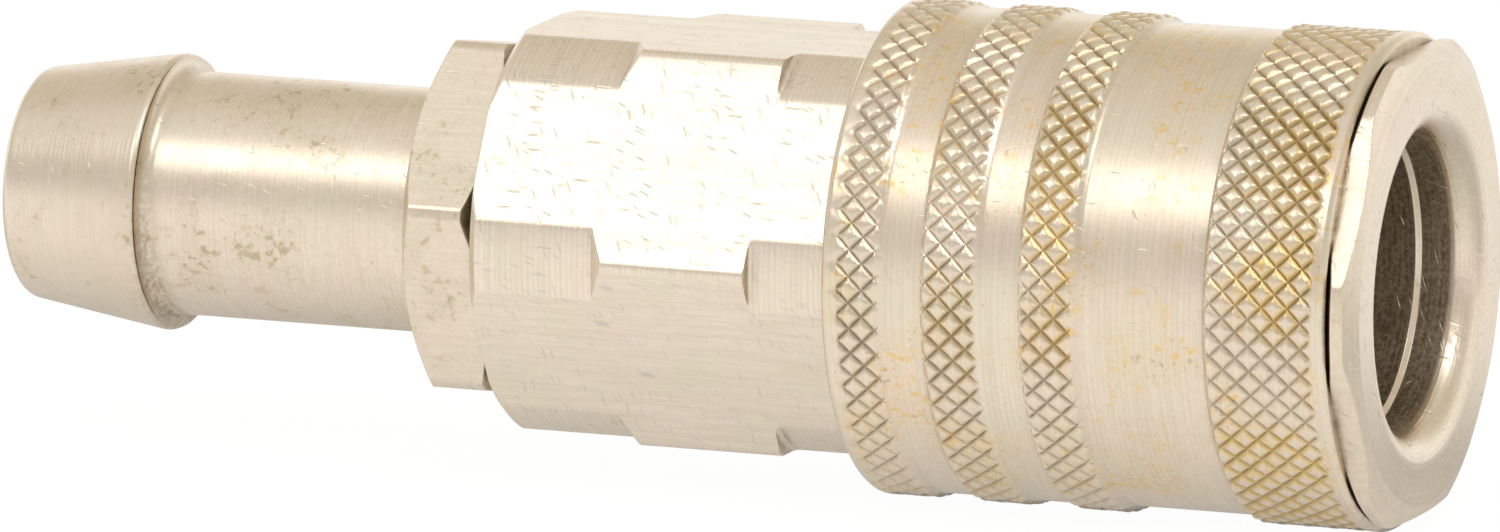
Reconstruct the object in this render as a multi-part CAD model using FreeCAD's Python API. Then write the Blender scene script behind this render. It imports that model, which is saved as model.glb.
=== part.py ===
import FreeCAD, Part
import math
import os

# Quick disconnect coupler, socket half, with a hose stem.
# Millimetres. +X runs along the axis towards the mouth, +Z is up.
# The origin is on the axis, in the middle of the bore that guides the plug.
# Axial places are depths, counted back from the mouth face towards the hose.

# ---- running, sliding and static clearances ----
running_gap = 0.08          # radial, between parts that slide or turn on each other
static_gap = 0.05           # radial, between parts that are screwed or pushed together
sleeve_gap = 0.15           # radial, between the sleeve and the corners of the rear body
face_gap = 0.02             # axial, between faces that rest on each other
ball_gap = 0.05             # around a locking ball, off the cone that holds it

# ---- mouth and plug bore ----
mouth_x = 8.0               # from the origin to the mouth face
guide_bore_d = 21.8
guide_land_length = 6.3     # length of the bore that guides the plug
mouth_step = 0.35           # radial steps out from the guide bore
ball_room_step = 0.2
plug_seal_step = 2.0
lead_in_round = 2.4         # rounded lip of the mouth
bevel_depth = 4.5           # where the mouth bore starts to narrow to the guide bore
plug_seal_width = 3.0
plug_seal_bite = 0.3        # how far the seal stands into the bore
seal_wall = 1.72            # between the balls and the seal
seat_wall = 1.4             # between the seal and the valve seat

# ---- barrel of the socket body ----
thread_wall = 2.6           # between the guide bore and the crests of the thread
tail_length = 3.5           # plain end behind the thread, which carries the seal
seat_thickness = 2.0
seat_step = 2.5             # radial, in from the guide bore to the valve seat
valve_room_step = 0.7
guide_room_step = 0.3

# ---- hexagonal nose of the socket body ----
hub_step = 1.3              # radial, out from the barrel
hub_depth = 3.5
nose_flat_step = 1.55       # from the hub out to a flat
nose_corner_step = 1.25     # from a flat out to the turned corners
nose_face_step = 0.75       # from a flat in to the edge of the mouth face
nose_face_bevel = 20.0      # degrees
nose_back_depth = 1.6       # where the back bevel starts, at the corners
nose_back_bevel = 30.0      # degrees

# ---- locking balls ----
ball_count = 8
ball_d = 4.76
ball_ahead = 2.35           # from the end of the guide land to the middle of the balls
ball_hole_gap = 0.07
ball_bite = 1.15            # how far a locked ball stands into the bore,
ball_stand = 0.11           # and out of the barrel
ball_lip = 0.7              # height of the lip that stops a ball falling in

# ---- sleeve ----
sleeve_travel = 5.0
sleeve_front = 2.1
sleeve_length = 39.2
spring_room = 1.75          # radial, between the barrel and the sleeve's bore
ring_wall = 2.4             # sleeve walls: at the knurled rings,
band_wall = 1.85            # at the smooth grip band,
groove_wall = 2.0           # and between the rear rings
rim_bevel = 0.4
front_ring_width = 8.8
rear_ring_count = 3
rear_ring_width = 3.7
rear_ring_pitch = 7.6
rear_ring_round = 0.5
land_front_width = 2.0
pocket_relief = 0.25        # the open pocket beyond a fully released ball
lock_land_reach = 4.7       # from the middle of the balls to the end of the inner land
washer_thickness = 0.8
sleeve_spring_length = 16.5
sleeve_wire_d = 1.1
sleeve_coils = 6.5

# ---- rear body, from hexagon bar ----
body_flat_step = 1.0        # from the turned necks in to a flat
body_middle_step = 1.15     # from the turned necks out to the middle
neck_spare = 1.6            # neck left in front of the middle when the sleeve is pulled back
body_middle_length = 11.3
rear_neck_length = 11.0     # with the bevel down to it
neck_fillet = 0.4
body_edge = 0.6
wiper_groove_step = 0.1     # groove at the back edge of the sleeve, just below the flats
wiper_groove_width = 0.7
wiper_groove_shows = 0.1    # how much of the groove the sleeve leaves open
body_room_step = 1.2        # radial, out from the stem's thread
body_seal_d = 1.2

# ---- hose stem ----
stem_thread_d = 20.0
stem_thread_length = 11.8
stem_collar_step = 3.0      # from the thread out to a flat of the collar
stem_corner_step = 1.75     # from a flat out to the turned corners
stem_hex_turn = -10.0       # degrees about +X, from where the thread pulls up tight
stem_hex_width = 6.2
stem_hex_bevel = 30.0
stem_gap = 0.1              # collar to body, with the seal pulled down
stem_bore_d = 13.5
stem_flare_step = 1.5       # from the thread in to the flared entry
shank_d = 18.4
shank_length = 22.7
barb_height = 1.35
barb_taper = 0.5            # from the shank in to the end of the barb
barb_length = 11.5
barb_fillet = 1.1
barb_edge = 0.5
barb_end_edge = 0.8
stem_seal_d = 1.5

# ---- shut-off valve ----
valve_travel = 5.0
valve_spring_short = 8.0    # length of the valve spring when the valve is fully open
valve_nose_reach = 5.0      # how far the cup stands in front of the seat
valve_cup_gap = 0.8         # radial, between the cup and the seat's bore
valve_cup_wall = 1.6
valve_cup_floor_reach = 0.5
valve_slot_width = 4.6
valve_slots = 4
valve_disc_gap = 0.8        # radial, around the disc
valve_disc_thickness = 2.5
valve_seal_thickness = 1.5
valve_seal_inset = 0.2
pin_d = 5.0
pin_head_d = 7.6
pin_head_height = 1.2
pin_slot_width = 1.0
pin_slot_depth = 0.6
pin_spare = 3.5             # how far the pin reaches out behind its guide
guide_thickness = 3.0
guide_hub_d = 7.2
guide_hub_height = 1.5
guide_holes = 6
guide_web = 1.4             # inside and outside the guide's holes
clip_thickness = 1.0
clip_groove_step = 1.1
clip_width = 2.0
clip_opening = 50.0         # degrees
barrel_spare = 2.0          # barrel left behind the clip
valve_wire_d = 1.0
valve_coils = 6.0
valve_coil_d = 10.4         # mean diameter

# ---- fineness of the springs' facets ----
spring_steps = 18           # along one coil
spring_sides = 8            # around the wire
spring_closing = 0.6        # how much the end coils close up, from 0 to 1

# ---- diameters, from the plug bore outwards ----
mouth_bore_d = guide_bore_d + 2 * mouth_step
ball_room_d = guide_bore_d + 2 * ball_room_step
plug_seal_groove_d = guide_bore_d + 2 * plug_seal_step
seat_bore_d = guide_bore_d - 2 * seat_step
valve_room_d = guide_bore_d - 2 * valve_room_step
guide_room_d = guide_bore_d - 2 * guide_room_step
barrel_wall = ball_d - ball_bite - ball_stand
barrel_d = guide_bore_d + 2 * barrel_wall
thread_d = guide_bore_d + 2 * thread_wall
hub_d = barrel_d + 2 * hub_step
nose_af = hub_d + 2 * nose_flat_step
nose_d = nose_af + 2 * nose_corner_step
nose_face_d = nose_af - 2 * nose_face_step
sleeve_bore_d = barrel_d + 2 * spring_room
ring_d = sleeve_bore_d + 2 * ring_wall
band_d = sleeve_bore_d + 2 * band_wall
groove_d = sleeve_bore_d + 2 * groove_wall
land_d = barrel_d + 2 * running_gap
body_turned_d = sleeve_bore_d - 2 * sleeve_gap
body_af = body_turned_d - 2 * body_flat_step
body_middle_d = body_turned_d + 2 * body_middle_step
wiper_groove_d = body_af - 2 * wiper_groove_step
body_room_d = stem_thread_d + 2 * body_room_step
stem_af = stem_thread_d + 2 * stem_collar_step
stem_hex_d = stem_af + 2 * stem_corner_step
stem_flare_d = stem_thread_d - 2 * stem_flare_step
barb_d = shank_d + 2 * barb_height
barb_end_d = shank_d - 2 * barb_taper
valve_cup_d = seat_bore_d - 2 * valve_cup_gap
valve_cup_bore_d = valve_cup_d - 2 * valve_cup_wall
valve_disc_d = valve_room_d - 2 * valve_disc_gap
valve_seal_d = valve_disc_d - 2 * valve_seal_inset
guide_hole_circle_d = (guide_room_d + guide_hub_d) / 2
guide_hole_d = (guide_room_d - guide_hub_d) / 2 - 2 * guide_web
clip_groove_d = guide_room_d + 2 * clip_groove_step

# ---- places along the axis, from the mouth back ----
guide_land_end = bevel_depth + mouth_step + guide_land_length
ball_depth = guide_land_end + ball_ahead
plug_seal_depth = ball_depth + ball_d / 2 + seal_wall
seat_depth = plug_seal_depth + plug_seal_width + seat_wall
valve_nose_depth = seat_depth - valve_nose_reach
valve_cup_floor = seat_depth + valve_cup_floor_reach
valve_disc_front = seat_depth + seat_thickness + valve_seal_thickness
valve_disc_back = valve_disc_front + valve_disc_thickness
guide_depth = valve_disc_back + valve_travel + valve_spring_short
barrel_length = guide_depth + guide_thickness + clip_thickness + barrel_spare
tail_start = barrel_length - tail_length
lock_land_end = ball_depth + lock_land_reach
spring_front = lock_land_end + washer_thickness + 2 * face_gap
body_front = lock_land_end + washer_thickness + sleeve_spring_length
sleeve_back = sleeve_front + sleeve_length
front_neck_end = sleeve_back + sleeve_travel + neck_spare
rear_neck_start = front_neck_end + body_middle_length
body_back = rear_neck_start + rear_neck_length
collar_front = body_back + stem_gap
collar_back = collar_front + stem_hex_width
barb_ridge_depth = collar_back + shank_length
overall_length = barb_ridge_depth + barb_length
front_ring_start = sleeve_front + rim_bevel
first_rear_ring = sleeve_back - rim_bevel - (rear_ring_count - 1) * rear_ring_pitch - rear_ring_width

# ---- where the balls stand, locked and released ----
ball_locked_r = guide_bore_d / 2 + ball_d / 2 - ball_bite
ball_free_r = guide_bore_d / 2 + ball_d / 2 + face_gap
ball_rise = ball_free_r - ball_locked_r
X_AXIS = FreeCAD.Vector(1, 0, 0)
ORIGIN = FreeCAD.Vector(0, 0, 0)


def at(depth):
    """The X of a place that many millimetres behind the mouth face."""
    return mouth_x - depth


def tube(front, back, outer_d, inner_d=0.0):
    """A round bar or tube between two depths."""
    start = FreeCAD.Vector(at(back), 0, 0)
    bar = Part.makeCylinder(outer_d / 2, back - front, start, X_AXIS)
    if inner_d > 0:
        bar = bar.cut(Part.makeCylinder(inner_d / 2, back - front, start, X_AXIS))
    return bar


def hexagon(front, back, across_flats, turn=0.0):
    """A hexagonal bar with a flat facing up, turned about the axis."""
    corner = across_flats / 2 / math.cos(math.pi / 6)
    points = []
    for k in range(7):
        angle = math.radians(60 * k + turn)
        points.append(FreeCAD.Vector(at(back), corner * math.cos(angle), corner * math.sin(angle)))
    face = Part.Face(Part.makePolygon(points))
    return face.extrude(FreeCAD.Vector(back - front, 0, 0))


def turned(corners):
    """A lathe-turned solid. Each corner is (depth, diameter) or (depth, diameter, round radius)."""
    spots = [FreeCAD.Vector(at(c[0]), c[1] / 2, 0) for c in corners]
    rounds = [c[2] if len(c) > 2 else 0.0 for c in corners]
    edges = []
    first = None
    last = None
    for i, spot in enumerate(spots):
        before = spots[i - 1] - spot
        after = spots[(i + 1) % len(spots)] - spot
        if rounds[i] > 0:
            half = before.getAngle(after) / 2
            cut = rounds[i] / math.tan(half)
            before.normalize()
            after.normalize()
            start = spot + before * cut
            end = spot + after * cut
            middle = before + after
            middle.normalize()
            centre = spot + middle * (rounds[i] / math.sin(half))
            arc = Part.Arc(start, centre - middle * rounds[i], end).toShape()
        else:
            start = spot
            end = spot
            arc = None
        if last is not None and last.distanceToPoint(start) > 1e-7:
            edges.append(Part.LineSegment(last, start).toShape())
        if arc is not None:
            edges.append(arc)
        if first is None:
            first = start
        last = end
    if last.distanceToPoint(first) > 1e-7:
        edges.append(Part.LineSegment(last, first).toShape())
    face = Part.Face(Part.Wire(edges))
    return face.revolve(ORIGIN, X_AXIS, 360)


def around(shape, count, first=0.0):
    """Copies of a shape, spaced evenly about the axis, as one compound."""
    copies = []
    for k in range(count):
        copy = shape.copy()
        copy.rotate(ORIGIN, X_AXIS, first + 360.0 / count * k)
        copies.append(copy)
    return Part.makeCompound(copies)


def o_ring(depth, inner_d, section_d):
    """A round rubber ring at rest in its groove."""
    middle_r = inner_d / 2 + section_d / 2
    return Part.makeTorus(middle_r, section_d / 2, FreeCAD.Vector(at(depth), 0, 0), X_AXIS)


def coil_spring(front, back, mean_d, wire_d, coils):
    """A compression spring of round wire with closed ends, as a solid of small flat facets."""
    steps = int(coils * spring_steps)
    rings = []
    for step in range(steps + 1):
        share = step / steps
        eased = share - spring_closing * math.sin(2 * math.pi * share) / (2 * math.pi)
        x = at(back) + wire_d / 2 + (back - front - wire_d) * eased
        angle = 2 * math.pi * coils * share
        ring = []
        for side in range(spring_sides):
            around_wire = 2 * math.pi * side / spring_sides
            radius = mean_d / 2 + wire_d / 2 * math.cos(around_wire)
            height = x + wire_d / 2 * math.sin(around_wire)
            ring.append(FreeCAD.Vector(height, radius * math.cos(angle), radius * math.sin(angle)))
        rings.append(ring)
    facets = []
    for ring, following in zip(rings, rings[1:]):
        for side in range(spring_sides):
            beside = (side + 1) % spring_sides
            facets.append((ring[side], ring[beside], following[beside]))
            facets.append((ring[side], following[beside], following[side]))
    for ring in (rings[0], rings[-1]):
        for side in range(1, spring_sides - 1):
            facets.append((ring[0], ring[side], ring[side + 1]))
    faces = [Part.Face(Part.makePolygon([a, b, c, a])) for a, b, c in facets]
    return Part.makeSolid(Part.makeShell(faces))


def make_socket_body():
    """Nose, barrel, plug bore, ball holes and valve seat, turned from one bar."""
    face_drop = (nose_d - nose_face_d) / 2 * math.tan(math.radians(nose_face_bevel))
    back_drop = (nose_d - hub_d) / 2 * math.tan(math.radians(nose_back_bevel))
    clip_front = guide_depth + guide_thickness
    body = turned([
        (0, mouth_bore_d, lead_in_round),
        (0, nose_face_d),
        (face_drop, nose_d),
        (nose_back_depth, nose_d),
        (nose_back_depth + back_drop, hub_d),
        (hub_depth, hub_d),
        (hub_depth, barrel_d),
        (body_front, barrel_d),
        (body_front, thread_d),
        (tail_start, thread_d),
        (barrel_length, thread_d),
        (barrel_length, guide_room_d),
        (clip_front + clip_thickness + face_gap, guide_room_d),
        (clip_front + clip_thickness + face_gap, clip_groove_d),
        (clip_front, clip_groove_d),
        (clip_front, guide_room_d),
        (guide_depth, guide_room_d),
        (guide_depth, valve_room_d),
        (seat_depth + seat_thickness, valve_room_d),
        (seat_depth + seat_thickness, seat_bore_d),
        (seat_depth, seat_bore_d),
        (seat_depth, guide_bore_d),
        (plug_seal_depth + plug_seal_width, guide_bore_d),
        (plug_seal_depth + plug_seal_width, plug_seal_groove_d),
        (plug_seal_depth, plug_seal_groove_d),
        (plug_seal_depth, ball_room_d),
        (guide_land_end, ball_room_d),
        (guide_land_end, guide_bore_d),
        (bevel_depth + mouth_step, guide_bore_d),
        (bevel_depth, mouth_bore_d),
    ])
    flats = hexagon(-1, hub_depth, nose_af)
    nose = body.common(flats)
    barrel = body.common(tube(hub_depth, barrel_length, nose_d))
    body = nose.fuse(barrel).removeSplitter()
    seal_groove = tube(
        barrel_length - tail_length / 2 - body_seal_d * 0.7,
        barrel_length - tail_length / 2 + body_seal_d * 0.7,
        thread_d + 1,
        thread_d - 2 * body_seal_d,
    )
    body = body.cut(seal_groove)
    return body.cut(ball_holes()).removeSplitter()


def ball_holes():
    """Radial holes for the balls, narrowed by a lip at the bore."""
    hole_r = ball_d / 2 + ball_hole_gap
    bore_r = ball_room_d / 2
    depth_below = ball_locked_r - bore_r
    lip_r = math.sqrt((ball_d / 2) ** 2 - depth_below ** 2) + ball_hole_gap
    straight = Part.makeCylinder(
        hole_r, barrel_d, FreeCAD.Vector(at(ball_depth), 0, bore_r + ball_lip), FreeCAD.Vector(0, 0, 1)
    )
    lip = Part.makeCone(
        lip_r, hole_r, ball_lip, FreeCAD.Vector(at(ball_depth), 0, bore_r), FreeCAD.Vector(0, 0, 1)
    )
    throat = Part.makeCylinder(
        lip_r, ball_d, FreeCAD.Vector(at(ball_depth), 0, bore_r - ball_d), FreeCAD.Vector(0, 0, 1)
    )
    return around(straight.fuse(lip).fuse(throat), ball_count, 180.0 / ball_count)


def lock_cone(depth):
    """Radius of the sleeve's locking cone at a depth, at rest."""
    slope = ball_rise / sleeve_travel
    offset = (ball_d / 2 + ball_gap) * math.sqrt(1 + slope ** 2)
    return ball_locked_r + offset + slope * (ball_depth - depth)


def make_sleeve():
    """Sleeve with four raised rings outside, and guide lands, pocket and locking cone inside."""
    slope = ball_rise / sleeve_travel
    rim_d = ring_d - 2 * rim_bevel
    cone_in = (rim_d - sleeve_bore_d) / 2 * math.tan(math.radians(nose_back_bevel))
    pocket_r = ball_free_r + ball_d / 2 + pocket_relief
    pocket_back = ball_depth - (pocket_r - lock_cone(ball_depth)) / slope
    land_start = ball_depth + (lock_cone(ball_depth) - land_d / 2) / slope
    pocket_front = hub_depth + land_front_width
    band_start = front_ring_start + front_ring_width
    corners = [
        (sleeve_front, rim_d),
        (front_ring_start, ring_d),
        (band_start, ring_d),
        (band_start + (ring_d - band_d) / 4, band_d),
    ]
    for k in range(rear_ring_count):
        start = first_rear_ring + k * rear_ring_pitch
        floor_d = band_d if k == 0 else groove_d
        corners.append((start - rear_ring_round, floor_d, rear_ring_round * 0.4))
        corners.append((start, ring_d, rear_ring_round * 0.4))
        corners.append((start + rear_ring_width, ring_d))
        if k < rear_ring_count - 1:
            corners.append((start + rear_ring_width + (ring_d - groove_d) / 4, groove_d))
    corners += [
        (sleeve_back, rim_d),
        (sleeve_back, sleeve_bore_d),
        (lock_land_end, sleeve_bore_d),
        (lock_land_end, land_d),
        (land_start, land_d),
        (pocket_back, 2 * pocket_r),
        (pocket_front, 2 * pocket_r),
        (pocket_front, land_d),
        (hub_depth + face_gap, land_d),
        (hub_depth + face_gap, hub_d + 2 * running_gap),
        (sleeve_front + cone_in, sleeve_bore_d),
    ]
    return turned(corners)


def make_spring_washer():
    front = lock_land_end + face_gap
    return tube(front, front + washer_thickness, sleeve_bore_d - 2 * running_gap, land_d)


def make_lock_ball(index):
    """One ball at the angle of its hole, held down in the bore as when locked."""
    ball = Part.makeSphere(ball_d / 2, FreeCAD.Vector(at(ball_depth), 0, ball_locked_r))
    ball.rotate(ORIGIN, X_AXIS, 360.0 / ball_count * (index + 0.5))
    return ball


def make_plug_seal():
    """Rubber ring in the bore groove, with a rounded lip standing into the bore."""
    front = plug_seal_depth + static_gap
    back = plug_seal_depth + plug_seal_width - static_gap
    outer = plug_seal_groove_d - 2 * static_gap
    inner = guide_bore_d - 2 * plug_seal_bite
    edge = (back - front) * 0.3
    return turned([(front, inner, edge), (front, outer), (back, outer), (back, inner, edge)])


def make_rear_body():
    """Hexagon bar turned down at both ends, threaded for the socket body and the hose stem."""
    outside = turned([
        (body_front, 0),
        (body_front, body_turned_d),
        (front_neck_end, body_turned_d, neck_fillet),
        (front_neck_end, body_middle_d),
        (rear_neck_start, body_middle_d),
        (rear_neck_start + (body_middle_d - body_turned_d) / 2, body_turned_d),
        (body_back - body_edge, body_turned_d),
        (body_back, body_turned_d - 2 * body_edge),
        (body_back, 0),
    ])
    outside = outside.common(hexagon(body_front, body_back, body_af))
    groove_end = sleeve_back + wiper_groove_shows
    outside = outside.cut(tube(groove_end - wiper_groove_width, groove_end, body_middle_d, wiper_groove_d))
    thread_end = barrel_length + static_gap
    stem_end = collar_front - stem_thread_length
    taper = (body_room_d - stem_thread_d) / 2
    seal_room_d = stem_thread_d + 2 * stem_seal_d + 4 * static_gap
    inside = turned([
        (body_front, 0),
        (body_front, thread_d + 2 * static_gap),
        (thread_end, thread_d + 2 * static_gap),
        (thread_end, body_room_d),
        (stem_end - 2 * taper, body_room_d),
        (stem_end - taper, stem_thread_d + 2 * static_gap),
        (body_back - stem_seal_d, stem_thread_d + 2 * static_gap),
        (body_back - stem_seal_d, seal_room_d),
        (body_back, seal_room_d),
        (body_back, 0),
    ])
    return outside.cut(inside)


def make_body_seal():
    middle = barrel_length - tail_length / 2
    return o_ring(middle, thread_d - 2 * body_seal_d + static_gap, body_seal_d - static_gap)


def make_hose_stem():
    """Threaded spigot, hexagonal collar, shank and one large barb."""
    collar_drop = (stem_hex_d - stem_af) / 2 * math.tan(math.radians(stem_hex_bevel))
    collar = turned([
        (collar_front, 0),
        (collar_front, stem_af),
        (collar_front + collar_drop, stem_hex_d),
        (collar_back - collar_drop, stem_hex_d),
        (collar_back, stem_af),
        (collar_back, 0),
    ])
    collar = collar.common(hexagon(collar_front, collar_back, stem_af, stem_hex_turn))
    spigot = turned([
        (collar_front - stem_thread_length, 0),
        (collar_front - stem_thread_length, stem_thread_d - 1.0),
        (collar_front - stem_thread_length + 0.5, stem_thread_d),
        (collar_front + 1, stem_thread_d),
        (collar_front + 1, 0),
    ])
    barb = turned([
        (collar_back - 1, 0),
        (collar_back - 1, shank_d),
        (barb_ridge_depth, shank_d, barb_fillet),
        (barb_ridge_depth, barb_d, barb_edge),
        (overall_length, barb_end_d, barb_end_edge),
        (overall_length, 0),
    ])
    flare = (stem_flare_d - stem_bore_d) / 2
    spigot_end = collar_front - stem_thread_length
    bore = turned([
        (spigot_end - 1, 0),
        (spigot_end - 1, stem_flare_d),
        (spigot_end, stem_flare_d),
        (spigot_end + flare, stem_bore_d),
        (overall_length - barb_end_edge, stem_bore_d),
        (overall_length + 1, stem_bore_d + 2 * barb_end_edge + 2),
        (overall_length + 1, 0),
    ])
    return collar.fuse(spigot).fuse(barb).cut(bore).removeSplitter()


def make_stem_seal():
    return o_ring(body_back - stem_seal_d / 2, stem_thread_d + static_gap, stem_seal_d - static_gap)


def make_valve_head():
    """Slotted cup that the plug pushes, on a disc that carries the rubber face."""
    head = turned([
        (valve_nose_depth, valve_cup_bore_d),
        (valve_nose_depth, valve_cup_d - 0.8),
        (valve_nose_depth + 0.4, valve_cup_d),
        (valve_disc_front, valve_cup_d),
        (valve_disc_front, valve_disc_d),
        (valve_disc_back - 0.5, valve_disc_d),
        (valve_disc_back, valve_disc_d - 1.0),
        (valve_disc_back, pin_d + 2 * static_gap),
        (valve_cup_floor, pin_d + 2 * static_gap),
        (valve_cup_floor, valve_cup_bore_d),
    ])
    slot = Part.makeBox(
        valve_cup_floor - valve_nose_depth + 1,
        valve_cup_d,
        valve_slot_width,
        FreeCAD.Vector(at(valve_cup_floor), valve_cup_bore_d / 4, -valve_slot_width / 2),
    )
    return head.cut(around(slot, valve_slots, 180.0 / valve_slots))


def make_valve_seal():
    front = seat_depth + seat_thickness + face_gap
    back = valve_disc_front - face_gap
    return tube(front, back, valve_seal_d, valve_cup_d + 2 * static_gap)


def make_valve_pin():
    """Guide pin of the valve, with a slotted head in the bottom of the cup."""
    under_head = valve_cup_floor - face_gap
    pin_end = guide_depth + guide_thickness + pin_spare
    pin = turned([
        (under_head - pin_head_height, 0),
        (under_head - pin_head_height, pin_head_d, 0.3),
        (under_head, pin_head_d),
        (under_head, pin_d),
        (pin_end - 0.5, pin_d),
        (pin_end, pin_d - 1.0),
        (pin_end, 0),
    ])
    slot = Part.makeBox(
        pin_slot_depth + 1,
        pin_slot_width,
        pin_head_d * 2,
        FreeCAD.Vector(at(under_head - pin_head_height + pin_slot_depth), -pin_slot_width / 2, -pin_head_d),
    )
    return pin.cut(slot)


def make_valve_guide():
    """Perforated disc that guides the valve pin and seats its spring."""
    guide_back = guide_depth + guide_thickness - face_gap
    guide = turned([
        (guide_depth - guide_hub_height, pin_d + 2 * running_gap),
        (guide_depth - guide_hub_height, guide_hub_d),
        (guide_depth + face_gap, guide_hub_d),
        (guide_depth + face_gap, guide_room_d - 2 * static_gap),
        (guide_back, guide_room_d - 2 * static_gap),
        (guide_back, pin_d + 2 * running_gap),
    ])
    hole = Part.makeCylinder(
        guide_hole_d / 2,
        guide_thickness + 2,
        FreeCAD.Vector(at(guide_back + 1), 0, guide_hole_circle_d / 2),
        X_AXIS,
    )
    return guide.cut(around(hole, guide_holes))


def make_guide_clip():
    """Open spring ring that holds the guide in the barrel."""
    front = guide_depth + guide_thickness + face_gap / 2
    outer = clip_groove_d - 2 * static_gap
    ring = tube(front, front + clip_thickness - face_gap, outer, outer - 2 * clip_width)
    half = math.radians(clip_opening / 2)
    reach = clip_groove_d
    gap_points = [
        FreeCAD.Vector(at(front + clip_thickness + 1), 0, 0),
        FreeCAD.Vector(at(front + clip_thickness + 1), -reach * math.sin(half), -reach * math.cos(half)),
        FreeCAD.Vector(at(front + clip_thickness + 1), reach * math.sin(half), -reach * math.cos(half)),
        FreeCAD.Vector(at(front + clip_thickness + 1), 0, 0),
    ]
    gap = Part.Face(Part.makePolygon(gap_points)).extrude(FreeCAD.Vector(clip_thickness + 2, 0, 0))
    return ring.cut(gap)


def make_sleeve_spring():
    """Spring between the rear body and the washer that pushes the sleeve forward."""
    mean_d = (land_d + sleeve_bore_d) / 2
    return coil_spring(spring_front, body_front - face_gap, mean_d, sleeve_wire_d, sleeve_coils)


def make_valve_spring():
    """Spring between the guide and the valve disc, which shuts the valve."""
    front = valve_disc_back + face_gap
    return coil_spring(front, guide_depth - face_gap, valve_coil_d, valve_wire_d, valve_coils)


pieces = {
    "socket_body": make_socket_body(),
    "sleeve": make_sleeve(),
    "spring_washer": make_spring_washer(),
    "sleeve_spring": make_sleeve_spring(),
    "plug_seal": make_plug_seal(),
    "rear_body": make_rear_body(),
    "body_seal": make_body_seal(),
    "hose_stem": make_hose_stem(),
    "stem_seal": make_stem_seal(),
    "valve_head": make_valve_head(),
    "valve_seal": make_valve_seal(),
    "valve_pin": make_valve_pin(),
    "valve_spring": make_valve_spring(),
    "valve_guide": make_valve_guide(),
    "guide_clip": make_guide_clip(),
}
for number in range(ball_count):
    pieces["lock_ball_%d" % (number + 1)] = make_lock_ball(number)

os.makedirs("parts", exist_ok=True)
for name, shape in pieces.items():
    shape.exportStep("parts/%s.step" % name)
    print(name, len(shape.Solids), "solid", round(shape.Volume, 1), "mm3", "valid", shape.isValid())
print("ball rise per sleeve travel", round(ball_rise / sleeve_travel, 6))
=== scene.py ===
import math

import bpy
import numpy as np
from mathutils import Matrix, Vector


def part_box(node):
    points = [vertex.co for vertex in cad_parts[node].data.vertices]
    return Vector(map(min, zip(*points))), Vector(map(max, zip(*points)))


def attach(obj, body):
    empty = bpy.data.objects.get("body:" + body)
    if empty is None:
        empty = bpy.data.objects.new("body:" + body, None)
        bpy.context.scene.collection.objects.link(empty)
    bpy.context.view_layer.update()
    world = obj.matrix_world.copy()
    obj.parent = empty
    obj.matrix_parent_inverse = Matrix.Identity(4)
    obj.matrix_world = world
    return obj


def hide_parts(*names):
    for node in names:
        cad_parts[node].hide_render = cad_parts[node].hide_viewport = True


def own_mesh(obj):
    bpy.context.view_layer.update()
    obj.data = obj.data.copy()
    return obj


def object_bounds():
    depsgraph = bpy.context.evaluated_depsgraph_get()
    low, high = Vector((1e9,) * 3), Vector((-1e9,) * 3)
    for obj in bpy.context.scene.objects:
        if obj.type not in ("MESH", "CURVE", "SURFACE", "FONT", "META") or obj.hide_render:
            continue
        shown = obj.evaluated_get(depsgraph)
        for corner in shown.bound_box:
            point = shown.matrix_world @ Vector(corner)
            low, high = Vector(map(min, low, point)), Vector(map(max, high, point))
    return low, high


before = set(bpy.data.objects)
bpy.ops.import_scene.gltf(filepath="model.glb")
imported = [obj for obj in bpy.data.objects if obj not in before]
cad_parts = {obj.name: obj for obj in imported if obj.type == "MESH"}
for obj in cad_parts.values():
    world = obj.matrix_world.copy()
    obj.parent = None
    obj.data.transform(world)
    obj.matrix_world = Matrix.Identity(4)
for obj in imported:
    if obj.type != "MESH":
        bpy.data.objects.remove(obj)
cad_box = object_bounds()


# ---- Studio: camera, floor and light ----
# A long lens, a little above the table, looks along the coupler from the mouth's side.
# The floor is white card that partly glows, with a painted shadow in its glow just behind the coupler. Two
# softboxes light it from above, inside a bright white tent.
camera_place = Vector((0.477671, -1.409225, 0.282817))
camera_aim = Vector((-0.043945, -0.004587, -0.001526))
camera_roll = 0.306              # degrees
camera_data = bpy.data.cameras.new("camera")
camera_data.sensor_width = 36.0
camera_data.lens = 491.203
camera_data.clip_start = 0.05
camera_data.clip_end = 30.0
camera = bpy.data.objects.new("camera", camera_data)
bpy.context.collection.objects.link(camera)
bpy.context.scene.camera = camera
camera.rotation_mode = "QUATERNION"
camera.location = camera_place
camera.rotation_quaternion = (
    (camera_aim - camera_place).to_track_quat("-Z", "Y")
    @ Matrix.Rotation(math.radians(camera_roll), 3, "Z").to_quaternion()
)

FLOOR_GAP = 0.00002              # under the coupler, so that nothing touches
FLOOR_HEIGHT = cad_box[0].z - FLOOR_GAP
FLOOR_SIZE = 8.0
CARD_SHADOW_STARTS = (-0.025, 0.02)      # along Y, where the painted shadow in the card's glow begins, just behind the coupler
CARD_SHADOW_ENDS = (0.03, 0.07)      # and where the glow is back again, ending the painted shadow
CARD_GLOW = (1.26, 0.46)         # the card's glow outside that painted shadow band, and inside it
CARD_GLOW_SHARE = 0.54           # of what the coupler mirrors of the card; the rest is its matt white
CARD_WHITE = 1.02                # the card as it is seen
CARD_WHITE_SHARE = 0.95
SOFTBOX_DISTANCE = 1.2


def add_node(tree, kind, values=None, **settings):
    """One shader node. Values are numbers for its sockets, or sockets of other nodes to link."""
    node = tree.nodes.new(kind)
    for key, value in settings.items():
        setattr(node, key, value)
    for key, value in (values or {}).items():
        if isinstance(value, bpy.types.NodeSocket):
            tree.links.new(value, node.inputs[key])
        else:
            node.inputs[key].default_value = value
    return node


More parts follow.
